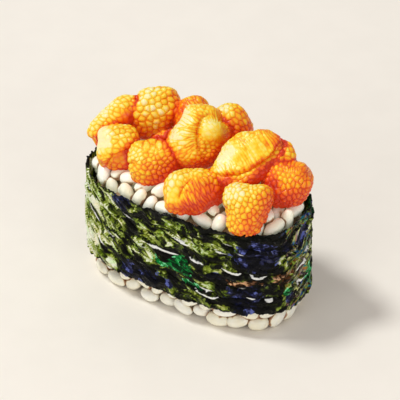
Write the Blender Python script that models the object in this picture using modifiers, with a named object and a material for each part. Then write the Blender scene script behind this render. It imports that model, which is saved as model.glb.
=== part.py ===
"""Sea urchin gunkan: an oval rice ball, a seaweed band round it, and a heap of urchin lobes.

Run with: blender --background --python part.py

The frame has +X along the oval's long axis, +Z up, and its origin at the middle of the flat
underside of the rice. Lengths are in metres.
"""

import math
from typing import NamedTuple

import bmesh
import bpy
from mathutils import Matrix, Vector, noise

MM = 0.001

# The oval: a superellipse, drawn at the band's rim and growing a little downwards.
RIM_HALF_LENGTH = 28.9 * MM
RIM_HALF_WIDTH = 15.8 * MM
OVAL_POWER = 2.78
FLARE = 0.015  # share by which the oval is larger at the band's lower edge than at its rim

# Heights above the surface that the piece rests on.
BAND_BOTTOM = 6.8 * MM
RIM_HEIGHT = 30.0 * MM
RICE_CROWN = 32.0 * MM  # middle of the rice's top

# The seaweed band.
BAND_THICKNESS = 0.55 * MM
BAND_OVERLAP = 13.0 * MM  # length over which the strip's outer end covers its inner end
BAND_SEAM_ANGLE = math.radians(118)  # where the outer end stops, on the back
BAND_STATIONS = 80
BAND_ROWS = 2

# Touching pieces keep this much air.
GAP = 0.3 * MM

# The rice.
RICE_SEGMENTS = 52
FOOT_SHIFT = Vector((0.6, -0.6, 0)) * MM  # the rice below the band stands a little off centre


def oval_point(angle, half_length, half_width):
    """The point of the superellipse in the direction given by the circle's angle."""
    c, s = math.cos(angle), math.sin(angle)
    power = 2 / OVAL_POWER
    return Vector((
        half_length * math.copysign(abs(c) ** power, c),
        half_width * math.copysign(abs(s) ** power, s),
        0.0,
    ))


def flare_at(height):
    """How much larger the oval is at this height than at the rim."""
    share = (RIM_HEIGHT - height) / (RIM_HEIGHT - BAND_BOTTOM)
    return 1 + FLARE * min(1.0, max(0.0, share))


def material(name, colour, roughness):
    """A plain Principled material."""
    made = bpy.data.materials.new(name)
    made.use_nodes = True
    shader = made.node_tree.nodes["Principled BSDF"]
    shader.inputs["Base Color"].default_value = (*colour, 1.0)
    shader.inputs["Roughness"].default_value = roughness
    shader.inputs["Metallic"].default_value = 0.0
    return made


def add_object(name, bm, finish, collection):
    """Turns a bmesh into a named object with its material."""
    mesh = bpy.data.meshes.new(name)
    bm.to_mesh(mesh)
    bm.free()
    mesh.shade_smooth()
    mesh.materials.append(finish)
    made = bpy.data.objects.new(name, mesh)
    collection.objects.link(made)
    return made


# ---------------------------------------------------------------------------
# Rice
# ---------------------------------------------------------------------------

def rice_rows():
    """The rice's profile, from its underside round to its crown.

    Each row is (inset from the band's outline, height, bump height), in mm. Between the foot and
    the top, the rice lies against the inside of the band.
    """
    inside_band = (BAND_THICKNESS + GAP) / MM
    foot_top = (BAND_BOTTOM - GAP) / MM
    rim = RIM_HEIGHT / MM
    rise = (RICE_CROWN - RIM_HEIGHT) / MM
    return [
        (6.0, 0.0, 0.0),
        (2.0, 0.0, 0.2),
        (1.2, 1.2, 0.5),
        (0.8, 3.2, 0.5),
        (0.8, 5.3, 0.4),
        (1.2, foot_top, 0.2),
        (inside_band, foot_top + 1.0, 0.0),
        (inside_band, rim - 0.6, 0.0),
        (1.4, rim + 0.5, 0.2),
        (3.2, rim + 0.5 * rise, 0.5),
        (5.8, rim + 0.75 * rise, 0.6),
        (9.0, rim + 0.9 * rise, 0.6),
        (12.5, rim + rise, 0.5),
    ]


def grain_bump(point):
    """Uneven relief at the size of a grain, from -1 to 1."""
    return noise.noise(point / (3.2 * MM) + Vector((7.1, 3.4, 1.9)))


def make_rice(finish, collection):
    """One closed heap: a loop of points extruded from row to row, then capped at both ends."""
    bm = bmesh.new()
    angle = bm.verts.layers.float.new("angle")
    bmesh.ops.create_circle(bm, radius=1.0, segments=RICE_SEGMENTS)
    for v in bm.verts:
        v[angle] = math.atan2(v.co.y, v.co.x)
    loop = list(bm.edges)
    for index, row in enumerate(rice_rows()):
        inset, height, bump = (value * MM for value in row)
        if index:
            grown = bmesh.ops.extrude_edge_only(bm, edges=loop)["geom"]
            loop = [g for g in grown if isinstance(g, bmesh.types.BMEdge)]
        size = flare_at(height)
        middle = Vector((0, 0, height))
        if height < BAND_BOTTOM:
            middle += FOOT_SHIFT
        for v in {v for edge in loop for v in edge.verts}:
            flat = oval_point(
                v[angle], RIM_HALF_LENGTH * size - inset, RIM_HALF_WIDTH * size - inset
            )
            place = middle + flat
            outwards = flat.normalized() if height < RIM_HEIGHT else Vector((0, 0, 1))
            v.co = place + outwards * bump * grain_bump(place)
    bmesh.ops.holes_fill(bm, edges=bm.edges)
    bmesh.ops.recalc_face_normals(bm, faces=bm.faces)
    return add_object("rice", bm, finish, collection)


# ---------------------------------------------------------------------------
# Seaweed band
# ---------------------------------------------------------------------------

def band_path():
    """Angles and outward offsets of the strip, once round the oval and over its own start."""
    mean_radius = (RIM_HALF_LENGTH + RIM_HALF_WIDTH) / 2
    lap = BAND_OVERLAP / mean_radius
    total = math.tau + lap
    step_out = BAND_THICKNESS + 1.5 * GAP
    path = []
    for i in range(BAND_STATIONS + 1):
        turned = total * i / BAND_STATIONS
        rise = min(1.0, max(0.0, (turned - (math.tau - 0.10)) / 0.12))
        path.append((BAND_SEAM_ANGLE - lap + turned, step_out * rise * rise * (3 - 2 * rise)))
    return path


def make_band(finish, collection):
    """One strip of seaweed, as an open sheet given its thickness by Solidify."""
    bm = bmesh.new()
    path = band_path()
    row_height = (RIM_HEIGHT - BAND_BOTTOM) / BAND_ROWS
    columns = []
    for angle, offset in path:
        column = []
        for row in range(BAND_ROWS + 1):
            height = BAND_BOTTOM + row * row_height
            size = flare_at(height)
            flat = oval_point(angle, RIM_HALF_LENGTH * size, RIM_HALF_WIDTH * size)
            outwards = Vector((flat.x / RIM_HALF_LENGTH ** 2, flat.y / RIM_HALF_WIDTH ** 2, 0))
            place = flat + outwards.normalized() * offset + Vector((0, 0, height))
            if row in (0, BAND_ROWS):
                place.z += 0.35 * MM * noise.noise(flat / (2.4 * MM) + Vector((row, 0, 0)))
            column.append(bm.verts.new(place))
        columns.append(column)
    for here, there in zip(columns, columns[1:]):
        for row in range(BAND_ROWS):
            bm.faces.new((here[row], there[row], there[row + 1], here[row + 1]))
    made = add_object("nori", bm, finish, collection)
    wall = made.modifiers.new("thickness", "SOLIDIFY")
    wall.thickness = BAND_THICKNESS
    wall.offset = -1.0
    return made


# ---------------------------------------------------------------------------
# Urchin lobes
# ---------------------------------------------------------------------------

# Most lobes lean back on the heap and face the front right corner of the oval.
FRONT = (33, 55)
# Those at the back stand upright.
UPRIGHT = (33, 90)


class Lobe(NamedTuple):
    """One tongue of urchin. Its own axes are X along it, Y across it and Z out of its face.

    Bulges are (direction on the unit sphere, spread, height in mm), and a dent is a negative one.
    The groove runs along an arc of the face: centre, radius, first and last angle, depth in mm.
    """
    name: str
    centre: tuple  # mm
    half_size: tuple  # mm
    facing: tuple = FRONT  # the way the face looks: turned from -Y, and tilted down from up, degrees
    spin: float = 0.0  # turn in its own plane, degrees
    taper: float = 0.0  # share by which the far end is wider
    bend: float = 0.0  # how far half its length is bent in its own plane, degrees
    bulges: tuple = ()
    groove: tuple = ()
    segments: int = 18
    rings: int = 10


# A lobe is pressed in by each one above it in this list.
LOBES = (
    Lobe("lobe_front_right", (20.2, -8.9, 34.8), (6.8, 6.0, 4.9), spin=80, taper=0.16,
         bulges=(((-0.7, 0.3, 0.6), 0.5, -0.6), ((0.6, 0.8, 0.0), 0.5, 0.5))),
    Lobe("lobe_front_middle", (5.1, -10.0, 35.3), (7.7, 5.8, 5.2), spin=24,
         bulges=(((-0.8, -0.2, 0.5), 0.5, 0.5), ((0.3, -0.9, 0.3), 0.5, -0.4)),
         groove=((0.1, -0.75), 0.85, 30, 135, 1.0), segments=24, rings=15),
    Lobe("lobe_flap", (13.2, 1.5, 41.5), (9.5, 5.1, 3.4), spin=27,
         bulges=(((0.1, 1.0, 0.0), 0.5, 0.7), ((-0.7, 0.7, 0.0), 0.4, -0.6))),
    Lobe("lobe_curl", (-2.0, 2.9, 41.0), (7.6, 6.8, 5.8), spin=55,
         bulges=(((0.4, -0.4, 0.8), 0.4, -0.6),),
         groove=((0.42, -0.40), 0.50, 10, 200, 1.6), segments=26, rings=17),
    Lobe("lobe_front_left", (-9.1, -5.3, 35.3), (6.4, 5.8, 5.2),
         bulges=(((-0.95, -0.35, 0.1), 0.3, -1.0), ((-0.3, 0.9, 0.2), 0.5, 0.4))),
    Lobe("lobe_right", (23.6, 3.5, 36.0), (6.0, 5.5, 5.2),
         bulges=(((0.8, -0.5, 0.3), 0.5, 0.4),)),
    Lobe("lobe_under_flap", (14.7, 2.5, 38.9), (10.2, 4.2, 3.6), spin=20, taper=0.22,
         bulges=(((0.35, -0.9, 0.1), 0.35, -1.1),)),
    Lobe("lobe_left_fold", (-19.8, -5.2, 35.5), (5.1, 5.6, 4.9),
         bulges=(((-0.6, 0.5, 0.6), 0.6, 0.5),),
         groove=((-0.1, 0.5), 1.0, -90, -20, 1.1), segments=22, rings=13),
    Lobe("lobe_crown", (-17.9, 8.6, 39.0), (6.0, 6.8, 5.2), facing=UPRIGHT,
         bulges=(((-0.9, -0.1, 0.3), 0.5, 0.5), ((0.7, -0.7, 0.2), 0.4, -0.6))),
    Lobe("lobe_crescent", (-25.9, 0.3, 39.1), (9.0, 3.4, 3.4), spin=47, bend=-48),
    Lobe("lobe_back_right", (2.1, 11.8, 39.4), (5.2, 7.1, 4.6), facing=UPRIGHT),
    Lobe("lobe_back_left", (-8.5, 11.4, 38.4), (4.5, 6.7, 4.2), facing=UPRIGHT),
    Lobe("lobe_back_corner", (13.0, 9.0, 36.0), (5.6, 5.0, 4.6), facing=UPRIGHT),
    Lobe("lobe_heart", (-6.0, 0.2, 36.4), (7.0, 5.5, 4.7), spin=5),
)
GROOVE_WIDTH = 0.17  # of the lobe's own half size
BLUNTNESS = 2.5  # power of the outline along a lobe; 2 is an ellipse
LUMP_HEIGHT = 0.45  # mm
LUMP_PITCH = 0.6  # of the lobe's own half size


def lobe_place(lobe):
    """The matrix that carries a lobe from its own axes to its place."""
    yaw, tilt = (math.radians(a) for a in lobe.facing)
    turn = Matrix.Rotation(yaw, 4, "Z") @ Matrix.Rotation(tilt, 4, "X")
    return (
        Matrix.Translation(Vector(lobe.centre) * MM)
        @ turn
        @ Matrix.Rotation(math.radians(lobe.spin), 4, "Z")
    )


def bent(point, half_length, degrees):
    """Bends the length axis into an arc in the lobe's own plane."""
    if not degrees:
        return point
    radius = half_length / math.radians(degrees)
    turn = point.x / radius
    reach = radius - point.y
    return Vector((reach * math.sin(turn), radius - reach * math.cos(turn), point.z))


def groove_at(direction, groove):
    """How deep the arc-shaped groove is at a direction of the unit sphere, in mm."""
    if not groove or direction.z < 0:
        return 0.0
    centre, radius, first, last, depth = groove
    offset = Vector((direction.x - centre[0], direction.y - centre[1]))
    middle = math.radians((first + last) / 2)
    half_span = math.radians((last - first) / 2)
    off_middle = math.remainder(math.atan2(offset.y, offset.x) - middle, math.tau)
    past_end = max(0.0, abs(off_middle) - half_span) * radius
    across = offset.length - radius
    return depth * math.exp(-(across ** 2 + past_end ** 2) / GROOVE_WIDTH ** 2)


def surface_lift(direction, lobe):
    """How far bulges, groove and lumps move the surface outwards, in mm."""
    lift = LUMP_HEIGHT * noise.noise(direction / LUMP_PITCH + Vector(lobe.centre))
    for towards, spread, height in lobe.bulges:
        apart = (direction - Vector(towards).normalized()).length
        lift += height * math.exp(-(apart / spread) ** 2)
    return lift - groove_at(direction, lobe.groove)


def make_lobe(lobe, finish, collection):
    """A blunt tongue: a sphere with its poles at the ends, stretched, shaped and bent."""
    half_length, half_width, half_thick = (s * MM for s in lobe.half_size)
    bm = bmesh.new()
    bmesh.ops.create_uvsphere(
        bm, u_segments=lobe.segments, v_segments=lobe.rings, radius=1.0,
        matrix=Matrix.Rotation(math.pi / 2, 4, "Y"),
    )
    for v in bm.verts:
        direction = v.co.normalized()
        station = direction.x
        round_there = math.sqrt(max(0.0, 1 - station ** 2))
        blunt_there = max(0.0, 1 - abs(station) ** BLUNTNESS) ** (1 / BLUNTNESS)
        wide = blunt_there / round_there if round_there > 1e-4 else 1.0
        wide *= 1 + lobe.taper * station
        point = Vector((
            station * half_length,
            direction.y * half_width * wide,
            direction.z * half_thick * wide,
        ))
        point += direction * surface_lift(direction, lobe) * MM
        v.co = bent(point, half_length, lobe.bend)
    made = add_object(lobe.name, bm, finish, collection)
    made.matrix_world = lobe_place(lobe)
    return made


def grown_copy(source, cutters):
    """A copy of a piece, larger by the gap, that only cuts."""
    made = source.copy()
    made.name = "cut_by_" + source.name
    cutters.objects.link(made)
    swell = made.modifiers.new("gap", "DISPLACE")
    swell.mid_level = 0.0
    swell.strength = GAP
    made.hide_render = True
    made.display_type = "WIRE"
    return made


def press(piece, cutter):
    """Flattens a piece where its neighbour pushes into it."""
    cut = piece.modifiers.new("pressed_by_" + cutter.name, "BOOLEAN")
    cut.operation = "DIFFERENCE"
    cut.object = cutter


def corners(piece):
    """The lowest and highest corner of an object's own mesh, in world space."""
    points = [piece.matrix_world @ v.co for v in piece.data.vertices]
    low = Vector(min(p[i] for p in points) for i in range(3))
    high = Vector(max(p[i] for p in points) for i in range(3))
    return low, high


def meet(one, other):
    """Whether the boxes of two pieces overlap."""
    (low, high), (other_low, other_high) = corners(one), corners(other)
    return all(low[i] < other_high[i] + GAP and other_low[i] < high[i] + GAP for i in range(3))


def reaches_band(lobe):
    """Whether a lobe hangs over the band's rim."""
    near = (RIM_HALF_WIDTH - 3 * BAND_THICKNESS) / RIM_HALF_WIDTH
    for v in lobe.data.vertices:
        place = lobe.matrix_world @ v.co
        across = abs(place.x / RIM_HALF_LENGTH) ** OVAL_POWER
        across += abs(place.y / RIM_HALF_WIDTH) ** OVAL_POWER
        if place.z < RIM_HEIGHT + 4 * GAP and across > near ** OVAL_POWER:
            return True
    return False


# ---------------------------------------------------------------------------
# The whole piece
# ---------------------------------------------------------------------------

def main():
    for leftover in list(bpy.data.objects):
        bpy.data.objects.remove(leftover)
    gunkan = bpy.data.collections.new("urchin_gunkan")
    cutters = bpy.data.collections.new("cutters")
    for collection in (gunkan, cutters):
        bpy.context.scene.collection.children.link(collection)
    rice_finish = material("rice", (0.86, 0.82, 0.72), 0.35)
    band_finish = material("nori", (0.045, 0.06, 0.025), 0.35)
    lobe_finish = material("urchin", (0.90, 0.42, 0.04), 0.35)

    rice = make_rice(rice_finish, gunkan)
    band = make_band(band_finish, gunkan)
    lobes = [make_lobe(lobe, lobe_finish, gunkan) for lobe in LOBES]
    bpy.context.view_layer.update()

    rice_cutter = grown_copy(rice, cutters)
    band_cutter = grown_copy(band, cutters)
    lobe_cutters = [grown_copy(lobe, cutters) for lobe in lobes]
    for index, lobe in enumerate(lobes):
        if reaches_band(lobe):
            press(lobe, band_cutter)
        press(lobe, rice_cutter)
        for before in range(index):
            if meet(lobe, lobes[before]):
                press(lobe, lobe_cutters[before])


main()
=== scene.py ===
import math
from typing import NamedTuple

import bmesh
import bpy
import numpy as np
from mathutils import Matrix, Vector, kdtree, noise
from mathutils.bvhtree import BVHTree


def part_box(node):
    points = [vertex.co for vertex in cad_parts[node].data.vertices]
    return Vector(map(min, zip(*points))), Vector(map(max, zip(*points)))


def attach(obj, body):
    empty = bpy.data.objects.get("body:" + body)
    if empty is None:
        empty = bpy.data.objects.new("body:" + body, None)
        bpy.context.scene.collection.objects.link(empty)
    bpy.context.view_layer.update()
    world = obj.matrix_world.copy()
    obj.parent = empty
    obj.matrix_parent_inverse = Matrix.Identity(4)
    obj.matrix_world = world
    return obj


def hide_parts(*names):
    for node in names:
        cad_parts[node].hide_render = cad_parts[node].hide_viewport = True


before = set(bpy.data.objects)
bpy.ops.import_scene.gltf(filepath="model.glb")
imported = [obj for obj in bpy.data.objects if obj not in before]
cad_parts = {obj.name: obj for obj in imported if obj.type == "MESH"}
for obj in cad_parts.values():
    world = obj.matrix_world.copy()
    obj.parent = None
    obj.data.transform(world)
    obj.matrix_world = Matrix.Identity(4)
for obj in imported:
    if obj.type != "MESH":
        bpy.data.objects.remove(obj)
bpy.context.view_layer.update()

# ---- Rice core ---------------------------------------------------------------------------
# Cooked short-grain rice, pressed by hand into an oval block. This is the inside of the block,
# built a little smaller than its outline, and it shows only in the gaps between loose grains.

MM = 0.001
OVAL_POWER = 2.78
OVAL_HALF_LENGTH = 28.9 * MM  # outline of the band's rim, which all else is inset from
OVAL_HALF_WIDTH = 15.8 * MM
FLARE = 0.015  # how much larger the oval is at the band's foot than at its rim
band_low, band_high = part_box("nori")
rice_low, rice_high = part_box("rice")
BAND_FOOT = band_low.z + 0.2 * MM
BAND_RIM = band_high.z - 0.3 * MM
RICE_MIDDLE = Vector((0.3, -0.4, 0)) * MM  # the rice stands a little off the band's centre
CORE_INSET = 2.6 * MM
CORE_SEGMENTS = 96


def oval_point(angle, height, inset):
    """A point of the oval outline at this height, moved inwards by the inset."""
    grown = 1 + FLARE * min(1.0, max(0.0, (BAND_RIM - height) / (BAND_RIM - BAND_FOOT)))
    c, s = math.cos(angle), math.sin(angle)
    power = 2 / OVAL_POWER
    return Vector((
        (OVAL_HALF_LENGTH * grown - inset) * math.copysign(abs(c) ** power, c),
        (OVAL_HALF_WIDTH * grown - inset) * math.copysign(abs(s) ** power, s),
        height,
    ))


class Wire:
    """An output socket of a material. Sums on it add Math nodes, and node() adds any other."""

    def __init__(self, tree, socket=None):
        self.tree = tree
        self.socket = socket

    def node(self, kind, settings=None, inputs=None, output=0):
        """Adds a node, sets it up, fills its sockets and returns one of its outputs."""
        made = self.tree.nodes.new(kind)
        for name, value in (settings or {}).items():
            if name == "stops":
                ramp = made.color_ramp
                while len(ramp.elements) < len(value):
                    ramp.elements.new(1.0)
                for element, (place, colour) in zip(ramp.elements, value):
                    element.position = place
                    element.color = (*colour, 1.0)
            else:
                setattr(made, name, value)
        for name, value in (inputs or {}).items():
            if isinstance(value, Wire):
                self.tree.links.new(value.socket, made.inputs[name])
            else:
                made.inputs[name].default_value = value
        return Wire(self.tree, made.outputs[output])

    def maths(self, operation, first, second):
        settings = {"operation": operation}
        return self.node("ShaderNodeMath", settings, {0: first, 1: second})

    def __add__(self, other):
        return self.maths("ADD", self, other)

    def __radd__(self, other):
        return self.maths("ADD", other, self)

    def __sub__(self, other):
        return self.maths("SUBTRACT", self, other)

    def __rsub__(self, other):
        return self.maths("SUBTRACT", other, self)

    def __mul__(self, other):
        return self.maths("MULTIPLY", self, other)

    def __rmul__(self, other):
        return self.maths("MULTIPLY", other, self)

    def step(self, low, high, start=0.0, stop=1.0):
        """Goes smoothly from start to stop as this value goes from low to high."""
        settings = {"interpolation_type": "SMOOTHSTEP"}
        ends = {"From Min": low, "From Max": high, "To Min": start, "To Max": stop}
        return self.node("ShaderNodeMapRange", settings, {"Value": self, **ends})

    def blend(self, first, second, mode="MIX"):
        """The first colour where this value is 0, the second (or their mix) where it is 1."""
        settings = {"data_type": "RGBA", "blend_type": mode}
        return self.node("ShaderNodeMix", settings, {"Factor": self, 6: first, 7: second}, 2)

    def also(self, output):
        """Another output of the node that this wire comes from."""
        return Wire(self.tree, self.socket.node.outputs[output])


def finish(name, roughness, **constants):
    """A new Principled material: returns it, its shader node and a wire to write its maths with."""
    made = bpy.data.materials.new(name)
    made.use_nodes = True
    shader = made.node_tree.nodes["Principled BSDF"]
    shader.inputs["Roughness"].default_value = roughness
    for socket, value in constants.items():
        shader.inputs[socket.replace("_", " ")].default_value = value
    return made, shader, Wire(made.node_tree)


def plug(wire, shader, socket):
    wire.tree.links.new(wire.socket, shader.inputs[socket])


def colour(red, green, blue):
    """A display colour of 0 to 255 as the linear one that shaders take."""
    shares = (value / 255 for value in (red, green, blue))
    return tuple(s / 12.92 if s <= 0.04045 else ((s + 0.055) / 1.055) ** 2.4 for s in shares)


def rice_finish(name, shadow, middle, light, painted_glow=0.0):
    """Moist cooked starch: each grain has its own tint, with painted shade down its sides and where
    it meets the next grain or the table.

    The painted glow is light given out by the grains over the band, a painted brightening of them.
    """
    made, shader, wire = finish(
        name, 0.32, Subsurface_Weight=0.25, Subsurface_Radius=(1.0, 0.95, 0.85),
        Subsurface_Scale=0.8 * MM, Coat_Weight=0.5, Coat_Roughness=0.14, Emission_Strength=painted_glow,
    )
    tint = wire.node("ShaderNodeAttribute", {"attribute_name": "grain_tint"}, output=2)
    depth = wire.node("ShaderNodeAttribute", {"attribute_name": "grain_depth"}, output=2)
    contact_shade = wire.node("ShaderNodeAttribute", {"attribute_name": "grain_crease"}, output=2)
    place = wire.node("ShaderNodeTexCoord", output=3)
    cloud = wire.node("ShaderNodeTexNoise", None, {"Vector": place, "Scale": 420.0, "Detail": 3.0})
    stops = [(0.10, shadow), (0.5, middle), (0.85, light)]
    # Painted shade: each grain is lighter on its top and darker down its sides.
    value = tint * 0.30 + cloud * 0.5 + depth.step(0.40, 0.95, 0.36, 0.10)
    height = wire.node("ShaderNodeSeparateXYZ", None, {"Vector": place}, "Z")
    # Painted contact shade where grains meet each other or the table, stronger low down.
    value = value - contact_shade.step(0.50, 0.95, 0.0, 0.65) * height.step(8 * MM, 24 * MM, 1.25, 1.0)
    plug(wire.node("ShaderNodeValToRGB", {"stops": stops}, {"Fac": value}), shader, "Base Color")
    # Painted light: grains high over the band give out a pale glow, except in their contact shade.
    painted_glow_mask = height.step(20 * MM, 26 * MM) * contact_shade.step(0.35, 0.85, 1.0, 0.0)
    plug(painted_glow_mask.blend((0, 0, 0, 1), (0.90, 1.0, 0.70, 1)), shader, "Emission Color")
    grit = wire.node("ShaderNodeTexNoise", None, {"Vector": place, "Scale": 1500.0, "Detail": 2.0})
    bump = wire.node(
        "ShaderNodeBump", None, {"Height": grit, "Strength": 0.12, "Distance": 0.2 * MM}
    )
    plug(bump, shader, "Normal")
    return made


def new_piece(name, bm, material):
    """A smooth-shaded object from a bmesh, riding on the one body."""
    mesh = bpy.data.meshes.new(name)
    bm.to_mesh(mesh)
    bm.free()
    mesh.shade_smooth()
    mesh.materials.append(material)
    piece = bpy.data.objects.new(name, mesh)
    bpy.context.scene.collection.objects.link(piece)
    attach(piece, "root")
    return piece


def make_core():
    """The block inside the grains: a loop lifted row by row, then closed at both ends."""
    bm = bmesh.new()
    angle = bm.verts.layers.float.new("angle")
    bmesh.ops.create_circle(bm, radius=1.0, segments=CORE_SEGMENTS)
    for v in bm.verts:
        v[angle] = math.atan2(v.co.y, v.co.x)
    loop = list(bm.edges)
    top = BAND_RIM - 2.4 * MM
    rows = [
        (9.0, 1.5), (5.4, 1.5), (4.5, 2.4), (4.2, 4.5), (3.4, 9.0), (2.3, 20.0),
        (2.6, top / MM), (4.0, top / MM + 0.7), (7.0, top / MM + 1.2), (11.0, top / MM + 2.0),
    ]
    for index, (inset, height) in enumerate(rows):
        if index:
            grown = bmesh.ops.extrude_edge_only(bm, edges=loop)["geom"]
            loop = [g for g in grown if isinstance(g, bmesh.types.BMEdge)]
        for v in {v for edge in loop for v in edge.verts}:
            v.co = oval_point(v[angle], height * MM, inset * MM) + RICE_MIDDLE
            v.co += v.co.normalized() * 0.5 * MM * noise.noise(v.co / (2.6 * MM))
    bmesh.ops.holes_fill(bm, edges=bm.edges)
    bmesh.ops.recalc_face_normals(bm, faces=bm.faces)
    # Painted shade: the core is coloured darker and browner than the grains, to stand for the shade in the gaps
    # between them.
    starch = rice_finish(
        "packed_rice_in_painted_shade", colour(130, 98, 74), colour(168, 136, 104), colour(204, 178, 146)
    )
    return new_piece("rice_core", bm, starch)


rice_core = make_core()

# ---- Rice grains -------------------------------------------------------------------------
# The loose grains at the block's surface: plump, moist and sticky, each about 6 mm long. They
# lie in two rows round the foot, in rings over the top inside the band, and flat underneath.

GRAIN_HALF_LENGTH = 3.05 * MM
GRAIN_HALF_WIDTH = 1.95 * MM
GRAIN_HALF_THICK = 1.75 * MM
GRAIN_CORE = GRAIN_HALF_LENGTH - GRAIN_HALF_WIDTH
GRAIN_BLUNTNESS = 2.4
GRAIN_SIDES, GRAIN_RINGS = 8, 7
PRESSED_INSET = 0.85 * MM  # of grains that lie against the band
CHOICES = 16  # ways of lying that a grain tries before it settles in the widest gap
AXIS_POINTS = 3  # places along a grain's core where its distance to others is taken
GRAIN_ROOM = 3.4 * MM  # that two cores keep between them
EASINGS = 40
FREE_INSET = 2.6 * MM  # how far inside the oval, and over the table, a grain's core stays
FREE_HEIGHT = 1.65 * MM
CONTACT_SHADE_WIDTH = 0.40 * MM  # how wide the painted contact shade is where sticky grains meet each other or the table
grain_draw = np.random.default_rng(11)


def add_grain(bm, layers, number, middle, along, outwards):
    """One grain: a sphere drawn out along its poles, blunt, bent and a little flat."""
    tint, depth, grain, _ = layers
    outwards = (outwards - along * outwards.dot(along)).normalized()
    across = outwards.cross(along)
    length = GRAIN_HALF_LENGTH * grain_draw.uniform(0.76, 1.12)
    width = GRAIN_HALF_WIDTH * grain_draw.uniform(0.84, 1.06)
    thick = GRAIN_HALF_THICK * grain_draw.uniform(0.92, 1.08)
    bow = grain_draw.uniform(-0.16, 0.16)
    nip = grain_draw.uniform(0.04, 0.20)
    shade = grain_draw.uniform(0.0, 1.0)
    turn = Matrix.Rotation(math.pi / 2, 4, "Y")
    made = bmesh.ops.create_uvsphere(
        bm, u_segments=GRAIN_SIDES, v_segments=GRAIN_RINGS, radius=1.0, matrix=turn
    )
    for v in made["verts"]:
        x, y, z = v.co
        ring = math.sqrt(max(1e-6, 1 - x * x))
        full = max(0.0, 1 - abs(x) ** GRAIN_BLUNTNESS) ** (1 / GRAIN_BLUNTNESS) / ring
        full *= (1 - nip * max(0.0, x)) * 1.07  # the smoothed cage comes out a little slimmer
        place = middle + along * x * length * 1.05
        place += across * width * (y * full + bow * (x * x - 0.4)) + outwards * z * full * thick
        place += outwards * 0.2 * MM * noise.noise(place / (1.7 * MM))
        v.co = pressed(place, PRESSED_INSET)
        v[tint] = shade
        v[depth] = 0.5 - 0.5 * z * full
        v[grain] = number


def pressed(place, inset, above=0.02 * MM):
    """Where a point of a grain ends up: over the table, and inside the band where that is."""
    flat = Vector((place.x, place.y, max(place.z, above)))
    if place.z > BAND_FOOT - 0.4 * MM or inset > PRESSED_INSET:
        room = inset if place.z < BAND_RIM + 0.6 * MM else 0.6 * inset
        out = abs(place.x / (OVAL_HALF_LENGTH - room)) ** OVAL_POWER
        out += abs(place.y / (OVAL_HALF_WIDTH - room)) ** OVAL_POWER
        if out > 1:
            flat.xy *= out ** (-1 / OVAL_POWER)
    return flat


def settle(laid, middle, outwards, start, spread, room=0.0):
    """Lays a grain near a place, in the best of some random turns and shifts, if it has room.

    A laid grain is its two core ends' places and its outward direction.
    """
    outwards = outwards.normalized()
    theirs = np.array([end for ends, _ in laid for end in (*ends, ends.mean(axis=0))])
    best = None
    for _ in range(CHOICES):
        turned = Matrix.Rotation(grain_draw.uniform(-spread, spread), 3, outwards) @ start
        along = (turned - outwards * turned.dot(outwards)).normalized() * GRAIN_CORE
        shift = Vector(grain_draw.normal(0.0, 0.55 * MM, 3))
        mine = np.array([middle + shift - along, middle + shift + along, middle + shift])
        gap = np.linalg.norm(theirs[:, None] - mine, axis=-1).min() if laid else 1.0
        if best is None or gap > best[0]:
            best = gap, mine[:2]
    if best[0] > room:
        laid.append((best[1], outwards))


def lay_ring(laid, height, inset, spacing, rise, spread):
    """A ring of grains at one height and inset. Rise tells how far they face up, not out."""
    stations = [oval_point(math.tau * i / 720, height, inset) for i in range(721)]
    walked, due = 0.0, spacing * grain_draw.uniform(0.0, 1.0)
    for here, there in zip(stations, stations[1:]):
        walked += (there - here).length
        if walked < due:
            continue
        due += spacing * grain_draw.uniform(0.84, 1.16)
        run = (there - here).normalized()
        outwards = run.cross(Vector((0, 0, 1))).normalized() * (1 - rise) + Vector((0, 0, rise))
        outwards += Vector(grain_draw.uniform(-0.18, 0.18, 3))
        settle(laid, here + RICE_MIDDLE, outwards, run, spread)


def fill_flat(laid, height, inset, tries, room):
    """Throws grains flat over the whole oval, and keeps each that finds enough room."""
    for _ in range(tries):
        x, y = grain_draw.uniform(-1, 1, 2)
        if abs(x) ** OVAL_POWER + abs(y) ** OVAL_POWER < 1:
            x, y = x * (OVAL_HALF_LENGTH - inset), y * (OVAL_HALF_WIDTH - inset)
            middle = Vector((x, y, height)) + RICE_MIDDLE
            settle(laid, middle, Vector((0, 0, 1)), Vector((1, 0, 0)), math.pi, room)


def axis_points(ends):
    share = np.linspace(0, 1, AXIS_POINTS)[:, None]
    return (ends[:, :1] * (1 - share) + ends[:, 1:] * share).reshape(-1, 3)


def ease_apart(ends):
    """Moves grains that run into each other apart, but not far from where they were laid."""
    laid = ends
    weight = np.linspace(0, 1, AXIS_POINTS)[:, None]
    whose = np.repeat(np.arange(len(ends)), AXIS_POINTS)
    others = whose[:, None] != whose
    for _ in range(EASINGS):
        points = axis_points(ends)
        apart = points[:, None] - points
        gaps = np.linalg.norm(apart, axis=-1) + 1e-9
        push = np.clip(GRAIN_ROOM - gaps, 0, None) * others / gaps
        moves = (apart * push[..., None]).sum(axis=1).reshape(-1, AXIS_POINTS, 3) * 0.12
        shifts = np.stack([(moves * (1 - weight)).sum(axis=1), (moves * weight).sum(axis=1)], axis=1)
        ends = ends + shifts + 0.06 * (laid - ends)
        middle, half = ends.mean(axis=1), (ends[:, 1] - ends[:, 0]) / 2
        half *= GRAIN_CORE / np.linalg.norm(half, axis=1, keepdims=True)
        pairs = np.stack([middle - half, middle + half], axis=1)
        ends = np.array([
            [pressed(Vector(end), FREE_INSET, FREE_HEIGHT) for end in pair] for pair in pairs
        ])
    return ends


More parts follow.
